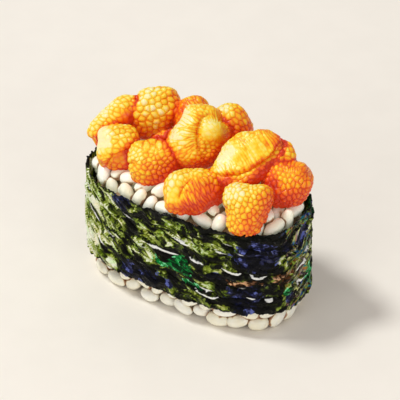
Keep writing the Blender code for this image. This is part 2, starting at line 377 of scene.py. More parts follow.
def mark_contact_shade(bm, layers, ends):
    """Notes how close each point is to where its grain meets the next grain or the table, for painted contact
    shade.
    """
    _, _, grain, contact_shade = layers
    tree = kdtree.KDTree(len(ends) * AXIS_POINTS)
    for index, point in enumerate(axis_points(ends)):
        tree.insert(point, index)
    tree.balance()
    for v in bm.verts:
        own, other = None, None
        for _, index, away in tree.find_n(v.co, 3 * AXIS_POINTS):
            if index // AXIS_POINTS == round(v[grain]):
                own = away if own is None else own
            else:
                other = away if other is None else other
        spare = (other or 1.0) - (own or 0.0)
        v[contact_shade] = math.exp(-max(0.0, min(spare, v.co.z + 0.1 * MM)) / CONTACT_SHADE_WIDTH)


def make_grains():
    laid = []
    lay_ring(laid, 1.8 * MM, 3.0 * MM, 5.3 * MM, 0.0, 1.0)
    lay_ring(laid, 4.6 * MM, 2.7 * MM, 5.2 * MM, 0.0, 1.3)
    lay_ring(laid, 3.3 * MM, 5.6 * MM, 5.0 * MM, 0.0, 1.5)
    fill_flat(laid, 1.7 * MM, 5.4 * MM, 260, 3.1 * MM)
    rim = BAND_RIM + 0.1 * MM
    lay_ring(laid, rim - 0.6 * MM, 2.6 * MM, 4.7 * MM, 0.75, 1.5)
    lay_ring(laid, rim + 0.2 * MM, 6.3 * MM, 4.7 * MM, 0.9, 1.5)
    lay_ring(laid, rim + 0.9 * MM, 9.9 * MM, 4.6 * MM, 0.95, 1.5)
    lay_ring(laid, rim - 2.2 * MM, 4.4 * MM, 4.4 * MM, 0.9, 1.5)
    fill_flat(laid, rim + 1.0 * MM, 13.0 * MM, 60, 3.0 * MM)
    fill_flat(laid, rim - 1.6 * MM, 7.6 * MM, 120, 2.6 * MM)
    ends = ease_apart(np.array([pair for pair, _ in laid]))
    bm = bmesh.new()
    names = "grain_tint", "grain_depth", "grain_number", "grain_crease"
    layers = [bm.verts.layers.float.new(name) for name in names]
    for number, (first, last) in enumerate(ends):
        along = Vector(last - first).normalized()
        add_grain(bm, layers, number, Vector(first + last) / 2, along, laid[number][1])
    mark_contact_shade(bm, layers, ends)
    starch = rice_finish(
        "cooked_rice", colour(160, 114, 78), colour(243, 236, 206), colour(252, 251, 238), 0.10
    )
    piece = new_piece("rice_grains", bm, starch)
    smoother = piece.modifiers.new("round", "SUBSURF")
    smoother.levels = smoother.render_levels = 1
    return piece


rice_grains = make_grains()
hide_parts("rice")

# ---- Seaweed band ------------------------------------------------------------------------
# One strip of roasted nori, wrapped round the rice and lapped over its own start at the back.
# It is paper-thin and brittle, crumpled into shingled flakes, with ragged cut edges.

BAND_LAP = 13.0 * MM
BAND_SEAM = 118.0  # degrees round the oval
BAND_WALL = 0.3 * MM
BAND_STATIONS = 560
BAND_ROWS = 84
FLAKE_LENGTH, FLAKE_HEIGHT = 4.6, 2.1  # mm

# Patches of the sheet: kind, degrees round the oval, height, half length and half height in mm.
PATCHES = [
    ("navy", 262, 9.6, 3.6, 2.4), ("navy", 252, 28.0, 2.0, 2.0), ("navy", 311, 10.8, 4.4, 3.8),
    ("navy", 322, 23.4, 6.4, 3.8), ("navy", 348, 25.0, 2.0, 1.8), ("navy", 3, 23.8, 2.2, 2.4),
    ("navy", 352, 9.5, 1.8, 1.8), ("navy", 292, 16.0, 2.2, 1.2),
    ("emerald", 275, 16.2, 2.1, 2.0), ("emerald", 350, 11.6, 2.0, 1.6), ("emerald", 12, 12.0, 3.0, 3.0),
    ("emerald", 281, 12.0, 1.6, 1.0),
    ("green", 268, 22.4, 4.0, 3.6), ("green", 297, 9.2, 4.0, 1.8), ("green", 218, 11.0, 5.0, 4.0),
    ("green", 205, 24.0, 5.0, 3.5), ("green", 300, 26.0, 2.4, 2.6),
    ("brown", 314, 15.6, 5.6, 1.0), ("brown", 345, 16.0, 4.0, 1.4),
]
FAR_SIDE_PATCHES = 14
WALK_PER_DEGREE = 0.40  # mm round the sheet
# Curled-up lips, with a painted highlight along each and painted shadow under it: degrees round the oval, height,
# half length, paleness of the painted highlight.
CURLS = [
    (303, 19.2, 2.8, 1.1), (322, 18.4, 3.0, 1.1), (288, 10.9, 2.8, 1.0), (296, 24.5, 2.2, 0.7),
    (276, 24.0, 1.6, 1.0), (270, 19.6, 1.8, 1.0), (316, 12.0, 1.6, 0.8), (300, 27.0, 1.6, 0.6),
    (283, 20.0, 2.0, 0.7), (216, 26.0, 2.6, 1.0), (228, 20.5, 2.8, 1.0), (236, 14.0, 2.2, 0.8),
]
LOOSE_CURLS = 50


def band_run():
    """Evenly spaced stations of the strip: angle and length walked."""
    lap_turn = BAND_LAP / ((OVAL_HALF_LENGTH + OVAL_HALF_WIDTH) / 2)
    seam = math.radians(BAND_SEAM)
    fine = np.linspace(seam - lap_turn, seam + math.tau, 4001)
    points = [oval_point(angle, BAND_FOOT, 0) for angle in fine]
    walked = np.concatenate([[0], np.cumsum([(b - a).length for a, b in zip(points, points[1:])])])
    lengths = np.linspace(0, walked[-1], BAND_STATIONS + 1)
    angles = np.interp(lengths, walked, fine)
    return angles, lengths


def granules(pattern, seed, evenings=0, spread=0.72):
    """Scatters cell centres over a surface, evens them out, and says how each point lies.

    Returns each point's offset from its own cell's centre, its distance to that, how much
    further the next centre is, and a number from 0 to 1 for its cell. All are in cells.
    """
    draw = np.random.default_rng(seed)
    free = np.ones(len(pattern), bool)
    centres = []
    for index in draw.permutation(len(pattern)):
        if free[index]:
            centres.append(pattern[index])
            free &= ((pattern - pattern[index]) ** 2).sum(axis=1) > spread
    centres = np.array(centres)
    for turn in range(evenings + 1):
        tree = kdtree.KDTree(len(centres))
        for index, centre in enumerate(centres):
            tree.insert(centre, index)
        tree.balance()
        near = np.array([[found[0][1], found[0][2], found[1][2]] for found in
                         (tree.find_n(point, 2) for point in pattern)])
        own = near[:, 0].astype(int)
        if turn < evenings:
            filled = np.bincount(own, minlength=len(centres))[:, None]
            sums = [np.bincount(own, pattern[:, axis], len(centres)) for axis in range(3)]
            centres = np.where(filled > 0, np.stack(sums, axis=1) / np.maximum(filled, 1), centres)
    offset = pattern - centres[own]
    return offset, near[:, 1], near[:, 2] - near[:, 1], draw.uniform(0, 1, len(centres))[own]


def bell(degrees, middle, width):
    """A smooth bump round one place of the oval."""
    away = (degrees - middle + 180) % 360 - 180
    return np.exp(-(away / width) ** 2)


def patchy(points, size, seed):
    """Soft noise at some points, about -1 to 1."""
    shift = Vector((seed, 0.3 * seed, 0.7 * seed))
    return np.array([noise.noise(Vector(p) / size + shift) for p in points]) * 1.6


def store(mesh, name, values):
    layer = mesh.attributes.get(name) or mesh.attributes.new(name, "FLOAT", "POINT")
    layer.data.foreach_set("value", np.asarray(values, np.float32))


def nori_finish():
    """Roasted seaweed: near black, with olive, lime, emerald and navy flakes, and painted light: painted shade and
    pale painted highlights across the flakes and along their edges, and painted sheen on the coloured patches.
    """
    made, shader, wire = finish(
        "roasted_nori", 0.3, Coat_Roughness=0.12, Specular_IOR_Level=0.08
    )
    strip = wire.node("ShaderNodeUVMap", {"uv_map": "strip"})

    def moved(across, shift):
        size = {"Vector": strip, "Location": (shift, shift * 0.37, 0), "Scale": (1, across, 1)}
        return wire.node("ShaderNodeMapping", None, size)

    def fibres(scale, across, shift, detail=4.0, distortion=1.0):
        return wire.node("ShaderNodeTexNoise", None, {
            "Vector": moved(across, shift), "Scale": scale, "Detail": detail,
            "Distortion": distortion, "Roughness": 0.6,
        })

    def vectors(operation, first, second, output=0):
        return wire.node("ShaderNodeVectorMath", {"operation": operation}, {0: first, 1: second}, output)

    def shards(scale, across, shift, waver):
        """Torn flakes: each one's own tone, and how far up its own slant a point is."""
        at = moved(across, shift)
        ragged = wire.node("ShaderNodeTexNoise", None, {"Vector": at, "Scale": scale * 1.7, "Detail": 3.0})
        bent = vectors("MULTIPLY", ragged.also("Color"), (waver / scale, waver / scale, 0))
        at = vectors("ADD", at, bent)
        cells = wire.node("ShaderNodeTexVoronoi", None, {"Vector": at, "Scale": scale}, "Position")
        lean = vectors("SUBTRACT", cells.also("Color"), (0.5, 0.5, 0.5))
        slant = vectors("DOT_PRODUCT", vectors("SUBTRACT", at, cells), lean, "Value") * scale
        tone = wire.node("ShaderNodeSeparateColor", None, {"Color": cells.also("Color")}, "Blue")
        return tone - 0.5, slant

    def share(name):
        return wire.node("ShaderNodeAttribute", {"attribute_name": name}, output=2)

    fine = fibres(7.0, 1.8, 5.0)
    grit = fibres(26.0, 1.4, 2.0, 2.0, 0.3)
    tone, slant = shards(3.6, 1.6, 1.0, 0.8)
    small_tone, small_slant = shards(10.0, 1.5, 3.0, 0.8)
    # Each flake's slant gives real bump relief and also painted shade in the colour: lighter up its slant, darker
    # down it.
    relief = slant * 1.2 + small_slant * 0.6
    value = share("algae") + tone * 0.42 + small_tone * 0.24 + relief * 0.60
    value = value + (fine - 0.5) * 0.45 + (grit - 0.5) * 0.25
    stops = [
        (0.20, colour(4, 5, 2)), (0.36, colour(28, 34, 5)), (0.48, colour(66, 80, 10)),
        (0.59, colour(110, 130, 24)), (0.70, colour(160, 176, 76)), (0.82, colour(205, 215, 158)),
        (0.95, colour(240, 243, 222)),
    ]
    base = wire.node("ShaderNodeValToRGB", {"stops": stops}, {"Fac": value})
    hue = fibres(2.2, 1.2, 9.0, 3.0)
    base = hue.step(0.50, 0.72, 0.0, 0.7).blend(base, (0.98, 0.82, 0.50, 1), "MULTIPLY")
    base = hue.step(0.50, 0.30, 0.0, 0.7).blend(base, (0.66, 0.95, 0.50, 1), "MULTIPLY")
    # Painted sheen across the flakes: it lightens the coloured patches as painted highlights, and also sets where
    # the real coat is.
    painted_sheen = tone * 0.6 + small_tone * 0.5 + relief * 0.8 + (fine - 0.5) * 0.7 + 0.5

    # A patch of the sheet's own colour, painted from dark through middle to a light painted highlight by the
    # painted sheen.
    def patch_and_painted_sheen(name, base, light_share, dark, middle, light):
        flake = [(0.46, colour(*dark)), (0.84, colour(*middle)), (1.0, colour(*light))]
        tint = wire.node("ShaderNodeValToRGB", {"stops": flake}, {"Fac": painted_sheen + light_share})
        edge = share(name) + (tone + small_tone) * 0.35 + (fine - 0.5) * 0.3
        return edge.step(0.44, 0.52).blend(base, tint)

    streak = fibres(1.8, 4.6, 11.0, 5.0) + (grit - 0.5) * 0.3
    threads = [
        (0.34, colour(46, 76, 214)), (0.42, colour(16, 136, 146)), (0.47, colour(150, 180, 50)),
        (0.52, colour(190, 110, 44)), (0.57, colour(150, 132, 158)), (0.62, colour(206, 214, 130)),
    ]
    hue = fibres(1.7, 3.4, 14.0, 2.0)
    thread = wire.node("ShaderNodeValToRGB", {"stops": threads}, {"Fac": hue})
    thread = (streak + small_tone * 0.2).step(0.44, 0.70).blend((*colour(6, 8, 8), 1), thread)
    shredded = share("threads") + (fine - 0.5) * 0.6 + small_tone * 0.7
    base = shredded.step(0.40, 0.60).blend(base, thread)
    base = patch_and_painted_sheen("navy", base, -0.06, (5, 6, 14), (26, 30, 74), (92, 104, 178))
    base = patch_and_painted_sheen("emerald", base, 0.11, (2, 40, 14), (8, 140, 58), (130, 235, 170))
    base = patch_and_painted_sheen("brown", base, -0.02, (22, 13, 4), (100, 58, 22), (210, 160, 116))
    # Painted highlight on the curled lips.
    curl = share("curl") + (fine - 0.5) * 0.4
    base = curl.step(0.36, 0.62).blend(base, (*colour(238, 240, 236), 1))
    plug(base, shader, "Base Color")
    plug(fine * 0.3 + 0.15, shader, "Roughness")
    plug(painted_sheen.step(0.60, 1.0, 0.0, 0.35) + curl.step(0.3, 0.6, 0.0, 0.5), shader, "Coat Weight")
    bump = wire.node("ShaderNodeBump", None, {
        "Height": relief + fine * 0.5 + grit * 0.3, "Strength": 0.7, "Distance": 0.3 * MM
    })
    plug(bump, shader, "Normal")
    return made


def make_band():
    bm = bmesh.new()
    bmesh.ops.create_grid(bm, x_segments=BAND_STATIONS, y_segments=BAND_ROWS, size=0.5)
    angles, lengths = band_run()
    grid = np.array([v.co[:2] for v in bm.verts]) + 0.5
    station = np.rint(grid[:, 0] * BAND_STATIONS).astype(int)
    share = grid[:, 1]
    length = lengths[station] / MM
    degrees = np.degrees(angles[station]) % 360
    foot = BAND_FOOT / MM - 1.5 * bell(degrees, 6, 24)
    height = foot + share * (BAND_RIM / MM - foot)
    slopes = np.degrees(angles) % 360
    slope = 0.45 * bell(slopes, 5, 26) - 0.85 * bell(slopes, 205, 42) - 0.15
    drift = np.concatenate([[0], np.cumsum(slope[1:] * np.diff(lengths))])[station] / MM
    flat = np.stack([length, height, np.zeros(len(length))], axis=1)
    sway = patchy(flat, 6.0, 3.0)
    along, across = length + 0.8 * sway, height - drift + 1.1 * patchy(flat, 5.0, 7.0)
    flakes = np.stack([along / FLAKE_LENGTH, across / FLAKE_HEIGHT, 0 * along], axis=1)
    offset, near, edge, own = granules(flakes, 21)
    small = np.stack([along / 1.9, across / 0.8, 0 * along], axis=1)
    small_offset, small_near, small_edge, small_own = granules(small, 22)
    ledge = offset[:, 1] * (0.7 + 0.6 * own) - 0.6 * offset[:, 1] ** 2
    relief = 0.50 * ledge + 0.5 * (own - 0.5) + 0.18 * (small_own - 0.5) - 0.14 * small_offset[:, 1]
    relief += 0.30 * sway + 0.15

    # Painted light and shade round the oval, together with the sheet's own tone there: mostly lighter on the front
    # left that faces the key light, darker on the front right.
    dark = bell(degrees, 324, 17) + 0.30 * bell(degrees, 298, 12) + 0.35 * bell(degrees, 90, 40)
    dark += 0.9 * bell(degrees, 195, 9)
    painted_lit_side = bell(degrees, 209, 33) + 0.5 * bell(degrees, 4, 16) + 0.3 * bell(degrees, 150, 30)
    algae = 0.34 + 0.48 * painted_lit_side - 0.32 * dark + 0.42 * (own - 0.5) + 0.20 * (small_own - 0.5)
    algae += 0.26 * patchy(flat, 3.6, 13.0)
    # Painted shade along the upper edge of each flake, and a painted highlight along its lower edge, brighter on
    # the lit side.
    algae -= 0.35 * np.exp(-(edge / 0.12) ** 2) * np.clip(1.6 * offset[:, 1], 0, 1)
    painted_lip_highlight = np.exp(-((edge - 0.06) / 0.12) ** 2) * np.clip(-1.6 * offset[:, 1], 0, 1)
    algae += (0.35 + 0.35 * painted_lit_side - 0.30 * dark) * painted_lip_highlight * (own > 0.35)
    draw = np.random.default_rng(5)
    kinds = ["navy", "green", "emerald", "brown"]
    far_side = [
        (kinds[i % 4], draw.uniform(20, 200), draw.uniform(9, 28), draw.uniform(2, 5), draw.uniform(1, 3))
        for i in range(FAR_SIDE_PATCHES)
    ]
    tones = {"navy": 0 * algae, "emerald": 0 * algae, "brown": 0 * algae, "green": 0 * algae}
    for kind, middle, up, half_length, half_height in PATCHES + far_side:
        walk = ((degrees - middle + 180) % 360 - 180) * WALK_PER_DEGREE
        gap = np.hypot(walk / half_length, (height - up + sway) / half_height)
        shard = 0.35 + 0.9 * small_own if kind in ("green", "brown") else 0.7 + 0.4 * small_own
        tones[kind] = np.maximum(tones[kind], np.clip(1.6 - gap, 0, 1) * shard)
    algae += 0.25 * tones["green"]
    scattered = [
        (draw.uniform(0, 360), draw.uniform(8.5, 28.5), draw.uniform(1.2, 2.8), draw.uniform(0.2, 0.9))
        for _ in range(LOOSE_CURLS)
    ]
    # Curls: a painted highlight along each curled lip, painted shadow just under it, and a little real relief.
    curl = 0 * algae
    for middle, up, half_length, pale in CURLS + scattered:
        walk = ((degrees - middle + 180) % 360 - 180) * WALK_PER_DEGREE
        reach = np.clip(1 - (walk / half_length) ** 2, 0, 1)
        lean = np.interp(middle, slopes[np.argsort(slopes)], slope[np.argsort(slopes)])
        away = height - up - lean * walk + 0.22 * half_length * reach
        bead = np.exp(-(away / (0.10 + 0.26 * reach)) ** 2) * reach ** 0.25
        curl = np.maximum(curl, pale * bead)
        algae -= 0.34 * np.exp(-((away + 0.75) / 0.5) ** 2) * reach
        relief += 0.25 * bead
    algae -= 0.6 * (np.exp(-(1 - share) / 0.035) + 0.8 * np.exp(-share / 0.025))
    threads = 0.76 * bell(degrees, 1, 14) + 0.5 * bell(degrees, 176, 9)
    crumbs = bell(degrees, 10, 16) * np.clip((height - 22) / 6, 0, 1)
    relief += 0.30 * crumbs * patchy(flat, 0.6, 19.0)

    tear = patchy(np.stack([length, 40 * share, 0 * length], axis=1), 1.3, 1.0)
    tear += 0.7 * patchy(np.stack([length, 40 * share, 0 * length], axis=1), 0.5, 2.0)
    ends = np.abs(2 * share - 1) ** 14 * np.sign(share - 0.5)
    height = height + 0.34 * ends * tear
    strip = bm.loops.layers.uv.new("strip")
    from_ends = np.minimum(length, lengths[-1] / MM - length)
    ragged = 0.030 * patchy(np.stack([0 * length, height, 0 * length], axis=1), 2.4, 4.0)
    turn = angles[station] + ragged * np.exp(-(from_ends / 5.0) ** 2)
    lapped = np.clip((turn - angles[0] - (math.tau - 0.10)) / 0.12, 0, 1)
    relief += 0.9 * lapped * lapped * (3 - 2 * lapped)
    for v, angle, up, out in zip(bm.verts, turn, height, relief):
        place = oval_point(angle, up * MM, 0)
        steep = Vector((
            place.x * abs(place.x / OVAL_HALF_LENGTH) ** (OVAL_POWER - 2) / OVAL_HALF_LENGTH ** 2,
            place.y * abs(place.y / OVAL_HALF_WIDTH) ** (OVAL_POWER - 2) / OVAL_HALF_WIDTH ** 2,
            0,
        ))
        v.co = place + steep.normalized() * out * MM
    for face in bm.faces:
        for loop in face.loops:
            loop[strip].uv = along[loop.vert.index] / 10, across[loop.vert.index] / 10
    piece = new_piece("nori_band", bm, nori_finish())
    store(piece.data, "algae", algae)
    store(piece.data, "curl", curl)
    store(piece.data, "threads", threads)
    for kind in ("navy", "emerald", "brown"):
        store(piece.data, kind, tones[kind])
    wall = piece.modifiers.new("sheet", "SOLIDIFY")
    wall.thickness = BAND_WALL
    wall.offset = -1.0
    return piece


nori_band = make_band()
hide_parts("nori")

# ---- Urchin lobes ------------------------------------------------------------------------
# Sea urchin tongues, heaped on the rice: soft, moist and granular, yellow to orange. Their colour
# has painted light and shade: paler on sides that face the light and on granule tops, orange to
# red in the gaps where they press together. Some are folded, with fine cross ribs.

LOBE_VOXEL = 0.5 * MM
LOBE_SWELL = 0.10
HEAP_YAW, HEAP_TILT = 33, 55  # degrees that the heap's open face is turned and tilted
# The direction that painted light on the lobes comes from: sides that face it are painted paler.
PAINTED_LIGHT_FROM = Vector((-0.55, -0.30, 0.78)).normalized()
RAYS = 20


class Look(NamedTuple):
    """A lobe's surface, in mm right and up from its middle over the heap's open face."""

    tone: float = 0.0  # how much paler it is than the others
    grain: tuple = (1.35, 1.35, 0.28)  # its granules' length, width and height
    turn: float = 0.0  # degrees that they are turned from level
    ribs: tuple = (2.6, 0.6, 0.12)  # its ribs' length, width and height
    rib_turn: float = 0.0
    fan: tuple = ()  # where the ribs spread from, if they aren't parallel
    ribbed: tuple = ()  # ribbed places: right, up, radius
    smooth: tuple = ()  # places with hardly any relief: right, up, radius
    grabs: tuple = ()  # pulls of the whole form: right, up, radius, then the pull's three parts
    puffs: tuple = ()  # swellings and dents: right, up, radius, height
    folds: tuple = ()  # creases: line, half width, depth, and step up on the line's left side
    tints: tuple = ()  # paler and redder places, partly the flesh's own tone and partly painted highlights and painted shade: right, up, radius, amount


LOOKS = {
    "lobe_crown": Look(
        tone=0.06, grain=(1.5, 1.4, 0.36),
        grabs=((0.6, 6.8, 3.5, 0, -0.6, 0), (6.0, 1.5, 2.2, 0.7, 0, 0), (-5.0, 2.9, 1.8, 0.7, 0, 0),
               (-6.2, -0.6, 2.2, -0.6, 0, 0), (4.4, 5.4, 2.0, 0.4, 0.4, 0), (5.6, -3.6, 2.2, -0.6, 0.4, 0)),
        puffs=((4.8, -4.6, 2.8, -1.1), (-1.8, -4.9, 2.0, 0.5), (-4.4, 1.6, 2.4, 0.3), (2.5, 4.5, 2, 0.3)),
        tints=((-3.2, 2.2, 3.4, 0.10), (1.6, -1.0, 3.4, 0.14), (0.2, -4.6, 3.0, 0.17)),
    ),
    "lobe_crescent": Look(
        tone=0.10, grain=(1.5, 1.05, 0.26), turn=-30,
        grabs=((-5.4, -6.4, 2.6, 0.9, 1.8, 0), (-3.0, 4.6, 4.0, 0.5, -0.7, 0)),
        smooth=((3.9, 1.2, 1.9),),
        puffs=((3.7, 1.6, 2.0, 0.9),),
        tints=((4.0, 1.2, 1.8, -0.40), (-2.5, 2.5, 3.0, 0.10), (-3.5, -5.0, 2.0, -0.10)),
    ),
    "lobe_left_fold": Look(
        tone=0.06, grain=(1.35, 1.25, 0.28), ribs=(1.8, 0.55, 0.07), rib_turn=20,
        grabs=((-5.4, 0.5, 3.0, 0.6, 0, 0),),
        ribbed=((-2.9, -3.4, 1.6),),
        smooth=((-3.4, 3.4, 2.1), (-3.2, 0.6, 2.0), (1.1, -2.3, 1.8)),
        puffs=((-3.2, 3.4, 1.8, 0.35), (-3.0, 0.2, 1.7, 0.25), (2.2, 2.4, 2.4, 0.3)),
        folds=((((-2.6, -4.3), (-1.1, -2.1), (0.9, -1.3), (3.2, 0.4)), 0.5, 0.35, 0.45),),
        tints=((-3.4, 3.2, 2.2, 0.18), (-3.0, 0.2, 2.0, 0.14), (1.2, -2.4, 1.9, -0.14),
               (4.2, 0.0, 1.8, -0.12), (0.0, -5.0, 2.0, -0.08)),
    ),
    "lobe_front_left": Look(
        tone=-0.05, grain=(1.22, 1.05, 0.30), ribs=(2.4, 0.85, 0.22), fan=(-0.5, -4.5),
        grabs=((-0.5, 6.0, 3.5, 0, -0.6, 0), (-6.6, 0.8, 2.5, 0.4, 0, 0)),
        ribbed=((-1.8, 4.4, 2.6), (1.8, 4.0, 2.8)),
        puffs=((0.0, 3.0, 2.4, 0.3), (-3.0, -3.6, 2.0, 0.3)),
        folds=((((-8.0, -0.9), (-6.0, -0.7), (-3.9, -0.7)), 0.5, 0.45, 0.1),),
        tints=((-4.0, 1.6, 2.2, 0.22), (-4.4, -3.0, 1.4, 0.12), (0.5, 3.8, 2.4, 0.10),
               (2.2, -3.2, 2.8, -0.18), (5.0, -1.0, 1.8, -0.16)),
    ),
    "lobe_curl": Look(
        tone=0.05, grain=(1.15, 1.0, 0.20), ribs=(4.5, 0.52, 0.12), fan=(4.6, 0.4),
        grabs=((-5.2, 4.6, 3.0, 1.3, -0.6, 0), (5.4, 6.2, 2.6, 0.9, 0.5, 0)),
        ribbed=((-2.4, 3.0, 4.2), (-3.2, -2.0, 3.4), (5.6, 0.4, 2.2), (4.6, 4.2, 2.8)),
        smooth=((2.9, 0.6, 2.2), (4.6, 0.6, 1.6)),
        puffs=((3.6, 0.7, 2.9, 0.8), (-3.4, 1.6, 2.4, 0.2), (-7.0, 0.6, 1.8, -0.6), (-2.6, -4.4, 2.2, 0.2),
               (1.6, -4.2, 1.6, -0.3)),
        folds=((((3.2, 5.2), (1.2, 4.3), (0.5, 2.6), (0.1, 0.8), (0.1, -1.2), (0.5, -2.8), (1.4, -4.0)),
                0.5, 0.6, 0.0),),
        tints=((-3.2, 3.8, 2.6, 0.24), (-5.2, -0.4, 2.2, 0.30), (-2.0, 0.0, 2.0, 0.08),
               (4.4, -4.4, 2.4, -0.10), (4.2, 2.0, 2.4, 0.12), (0.2, 0.4, 0.8, -0.12),
               (-3.0, -4.8, 2.4, 0.16), (0.6, -5.4, 2.2, 0.14), (3.4, 5.0, 2.2, 0.10)),
    ),
    "lobe_front_middle": Look(
        tone=-0.07, grain=(1.25, 1.6, 0.30), turn=12, ribs=(3.4, 0.66, 0.13), rib_turn=-58,
        grabs=((2.0, 6.6, 4.0, 0, -1.6, 0), (-3.2, -6.7, 3.2, 0.2, 0.9, 0), (-7.6, -1.0, 3.0, 0.8, 0, 0)),
        ribbed=((0.4, 0.2, 3.0), (-0.6, -3.0, 3.2), (3.0, -2.6, 2.4)),
        smooth=((-4.2, -1.8, 2.0),),
        puffs=((-3.8, 2.6, 2.0, 0.3), (1.6, 1.4, 2.4, 0.4), (-4.4, -2.6, 2.0, 0.2)),
        folds=((((-3.0, -2.6), (-2.8, -1.2), (-2.0, 0.4), (-0.6, 2.0), (0.9, 3.2)), 0.4, 0.4, -0.1),),
        tints=((-3.8, 2.6, 2.8, 0.22), (-4.6, -1.0, 2.0, 0.12), (4.2, -2.2, 3.2, -0.24),
               (-0.6, -4.6, 3.0, -0.14), (1.0, 4.4, 2.0, 0.16)),
    ),
    "lobe_flap": Look(
        tone=0.01, grain=(1.4, 1.0, 0.24), turn=30, ribs=(5.0, 0.62, 0.10), rib_turn=-58,
        grabs=((-8.0, -1.6, 3.2, -0.5, -2.2, 1.2), (-2.6, -3.8, 4.2, 0, -2.8, 1.8),
               (2.6, -2.2, 3.2, 0, -1.4, 1.4), (3.0, 6.8, 3.5, 0, -0.7, 0), (7.9, 4.9, 2.5, -0.5, -0.6, 0)),
        smooth=((-3.0, 0.6, 2.4), (1.6, 1.0, 2.8)),
        ribbed=((-4.6, -0.4, 3.0), (0.0, 0.6, 4.2), (4.4, 3.6, 3.0), (-5.6, -3.6, 2.6)),
        puffs=((-0.8, 0.8, 3.6, 0.5), (3.4, 5.6, 2.0, 0.4), (-6.6, 2.6, 1.6, -0.4)),
        folds=((((-7.6, -4.4), (-5.7, -4.7), (-2.4, -4.4), (0.6, -3.2), (1.8, -2.4), (4.8, -0.6),
                 (6.2, 1.0), (7.0, 3.0)), 0.45, 0.5, 0.35),),
        tints=((-5.2, 0.8, 2.2, 0.30), (-6.4, -2.4, 2.2, 0.28), (-2.8, -2.8, 1.8, 0.16), (1.4, 2.4, 2.4, 0.08), (6.8, 3.4, 2.0, -0.24),
               (0.5, -6.6, 1.9, -0.34), (4.2, -5.0, 2.2, -0.42), (6.2, -2.6, 1.5, -0.24), (-6.0, -6.6, 1.8, -0.34),
               (-7.8, -2.6, 1.2, -0.10), (3.0, -3.6, 2.2, -0.20), (-4.0, -6.2, 2.2, -0.16)),
    ),
    "lobe_under_flap": Look(
        tone=-0.16, grain=(1.3, 1.2, 0.26),
        grabs=((-5.0, -2.0, 4.5, 0, 1.2, -2.4), (1.0, -3.6, 3.2, 0, 1.0, -1.4)),
        tints=((8.0, 2.0, 2.2, 0.28), (3.0, -3.4, 3.0, -0.20), (-3.0, -3.4, 4.0, -0.30)),
    ),
    "lobe_right": Look(
        tone=-0.17, grain=(1.15, 1.4, 0.34), ribs=(2.0, 0.8, 0.2), fan=(-0.5, -0.5),
        ribbed=((0.5, 4.6, 2.4), (3.8, 3.4, 2.0)),
        grabs=((5.4, -3.0, 3.0, -0.7, 0.8, 0), (0.8, -5.8, 3.0, 0, 0.7, 0)),
        tints=((-4.2, 0.4, 2.2, -0.22), (-1.0, -4.0, 2.4, -0.20), (4.4, 1.2, 2.2, 0.12),
               (-0.5, 1.2, 2.2, 0.12)),
        puffs=((2.4, 3.6, 2.0, 0.3), (-3.0, -3.8, 1.6, -0.3)),
    ),
    "lobe_front_right": Look(
        tone=0.04, grain=(1.12, 1.36, 0.32),
        grabs=((-1.5, 6.9, 4.5, 0, -1.2, 0), (6.3, 1.5, 3.2, -0.8, 0, 0), (4.6, -3.2, 2.6, -1.2, 0.8, 0),
               (-5.6, -1.0, 2.4, 0.5, 0, 0), (2.4, -6.0, 2.6, -0.9, 0.5, 0)),
        puffs=((4.6, -4.4, 2.2, -0.6), (-0.9, -7.0, 1.3, -0.5), (-5.6, -0.8, 1.6, -0.45), (-2.6, 3.4, 2.2, 0.3),
               (-1.4, -5.2, 1.8, 0.3)),
        tints=((-3.2, 3.4, 3.0, 0.16), (4.2, 1.6, 2.4, -0.20), (-1.0, -5.4, 2.2, -0.12),
               (3.6, -2.6, 2.4, -0.12), (-0.5, -3.4, 3.4, -0.08)),
    ),
    "lobe_back_left": Look(
        tone=-0.02, grain=(1.1, 1.1, 0.22), ribs=(2.8, 0.85, 0.22), rib_turn=-55,
        ribbed=((0.5, 3.5, 4.5),), tints=((-3.5, 3.0, 2.0, -0.24),),
    ),
    "lobe_back_right": Look(
        tone=0.0, grain=(1.1, 1.6, 0.22), turn=30,
        grabs=((4.2, 4.6, 2.5, -0.5, -0.5, 0),),
        tints=((-1.6, 4.7, 2.2, 0.22), (0.8, -1.6, 3.0, -0.22)),
    ),
    "lobe_back_corner": Look(tone=-0.04),
    # The heart lobe shows only in the gaps between others; its redder tone is partly painted shade for them.
    "lobe_heart": Look(tone=-0.12, tints=((-1.0, 3.0, 3.0, -0.25), (0.5, -3.0, 1.6, 0.25))),
}


def merged_copy(node):
    """The CAD node's mesh as a bmesh with its loose triangles joined."""
    bm = bmesh.new()
    bm.from_mesh(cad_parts[node].data)
    bmesh.ops.remove_doubles(bm, verts=bm.verts, dist=1e-6)
    return bm


def applied(piece):
    """Applies a piece's modifiers to its mesh, and returns that."""
    seen = piece.evaluated_get(bpy.context.evaluated_depsgraph_get())
    mesh = bpy.data.meshes.new_from_object(seen)
    piece.modifiers.clear()
    piece.data = mesh
    return mesh


def search_tree(nodes):
    """One search tree of the surfaces of some CAD nodes."""
    points, faces = [], []
    for node in nodes:
        bm = merged_copy(node)
        start = len(points)
        points += [v.co.copy() for v in bm.verts]
        faces += [[start + v.index for v in f.verts] for f in bm.faces]
        bm.free()
    return BVHTree.FromPolygons(points, faces)


def ray_fan():
    """Directions spread evenly over a half sphere, in a frame whose Z is the surface normal."""
    golden = math.pi * (3 - math.sqrt(5))
    for i in range(RAYS):
        up = 0.15 + 0.85 * (i + 0.5) / RAYS
        out = math.sqrt(1 - up * up)
        yield Vector((out * math.cos(golden * i), out * math.sin(golden * i), up))


around = search_tree(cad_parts)
fan_of_rays = list(ray_fan())


